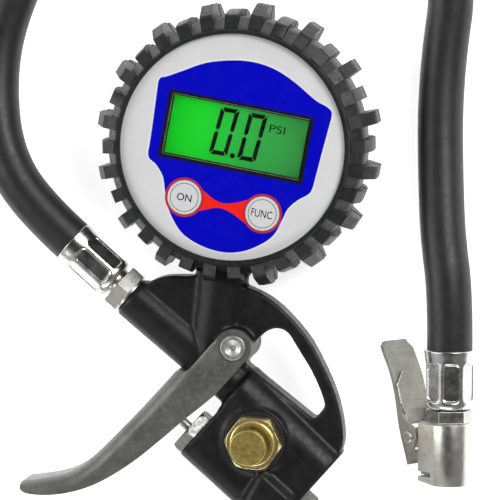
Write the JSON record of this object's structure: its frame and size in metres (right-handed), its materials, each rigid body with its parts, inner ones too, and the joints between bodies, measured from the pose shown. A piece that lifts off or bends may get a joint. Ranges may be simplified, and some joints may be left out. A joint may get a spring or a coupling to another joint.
{
  "type": "tyre inflator gun",
  "caption": "Black hand tyre inflator gun with a round digital gauge in a tyre-shaped rubber boot, trigger lever, brass release valve, short rubber hose and lever-clip chuck",
  "frame": {"origin": "middle of the flat back of the gauge", "axes": "+Z out of the dial, +Y to twelve o'clock of the dial, the tool lying on its back"},
  "size_m": [0.1759, 0.3207, 0.04],
  "materials": {
    "boot_rubber": "matte moulded rubber",
    "hose_rubber": "smooth rubber with a faint sheen",
    "seal_rubber": "matte",
    "black_plastic": "fine texture",
    "grey_plastic": "smooth",
    "label_print": "printed film",
    "button_plastic": "gloss",
    "clear_window": "clear",
    "display": "display glass, black frame",
    "green_light": "translucent",
    "board": "solder mask",
    "switch_metal": "plated",
    "cells": "printed sleeve",
    "screw_steel": "zinc plated",
    "black_casting": "semi-gloss black coat",
    "lever_steel": "speckled grey coat",
    "rivet_steel": "satin",
    "nut_nickel": "nickel plated",
    "brass": "machined",
    "ferrule_chrome": "bright plated",
    "chuck_nickel": "satin nickel"
  },
  "bodies": {
    "main": {"rubber_boot": "boot_rubber", "gauge_case": "black_plastic", "dial_plate": "grey_plastic", "dial_label": "label_print", "lcd_window": "clear_window", "lcd_module": "display", "backlight": "green_light", "circuit_board": "board", "tact_switches": "switch_metal", "batteries": "cells", "battery_contacts": "switch_metal", "battery_door": "black_plastic", "door_screw": "screw_steel", "case_screws": "screw_steel", "pressure_sensor": "switch_metal", "gauge_stem": "brass", "stem_oring": "seal_rubber", "body": "black_casting", "gland_nut": "nut_nickel", "gland_oring": "seal_rubber", "valve_plug": "nut_nickel", "plug_oring": "seal_rubber", "bleed_body": "brass", "bleed_washer": "boot_rubber", "inlet_fitting": "nut_nickel", "hose_fitting": "nut_nickel", "gun_ferrule": "ferrule_chrome", "hose": "hose_rubber", "chuck_ferrule": "ferrule_chrome", "chuck_stem": "nut_nickel", "chuck_body": "chuck_nickel", "chuck_seal": "seal_rubber", "chuck_depressor": "brass", "bleed_spring": "screw_steel"},
    "trigger": {"trigger_lever": "lever_steel", "trigger_pin": "rivet_steel"},
    "stem": {"valve_stem": "rivet_steel", "valve_washer": "seal_rubber", "valve_spring": "screw_steel"},
    "bleed": {"bleed_button": "brass", "bleed_seal": "seal_rubber"},
    "key_on": {"button_on": "button_plastic"},
    "key_func": {"button_func": "button_plastic"},
    "clip_lever": {"chuck_lever": "chuck_nickel", "chuck_pin": "rivet_steel", "chuck_spring": "screw_steel"},
    "clip": {"chuck_jaw": "chuck_nickel"}
  },
  "joints": [
    {"name": "trigger_hinge", "type": "hinge", "parent": "main", "child": "trigger", "pos_m": [0.0111, -0.0601, 0.015], "axis": [0, 0, 1], "range_deg": [0, 8], "stiffness_Nm_per_rad": 0.6},
    {"name": "stem_slide", "type": "slide", "parent": "main", "child": "stem", "axis": [0.8572, -0.515, 0], "range_m": [0, 0.0044]},
    {"name": "bleed_press", "type": "slide", "parent": "main", "child": "bleed", "axis": [0, 0, -1], "range_m": [0, 0.0022], "stiffness_N_per_m": 500, "deforming": ["bleed_spring"]},
    {"name": "on_press", "type": "slide", "parent": "main", "child": "key_on", "axis": [0, 0, -1], "range_m": [0, 0.0005], "stiffness_N_per_m": 900},
    {"name": "func_press", "type": "slide", "parent": "main", "child": "key_func", "axis": [0, 0, -1], "range_m": [0, 0.0005], "stiffness_N_per_m": 900},
    {"name": "clip_hinge", "type": "hinge", "parent": "main", "child": "clip_lever", "pos_m": [0.07161, -0.07639, 0.0129], "axis": [0.6054, 0.1122, -0.788], "range_deg": [0, 20], "stiffness_Nm_per_rad": 0.12},
    {"name": "clip_slide", "type": "slide", "parent": "main", "child": "clip", "axis": [-0.7748, -0.1436, -0.6157], "range_m": [0, 0.0032]}
  ],
  "couplings": [
    {"joint": "stem_slide", "follows": "trigger_hinge", "m_per_rad": 0.0305},
    {"joint": "clip_slide", "follows": "clip_hinge", "m_per_rad": 0.009}
  ]
}
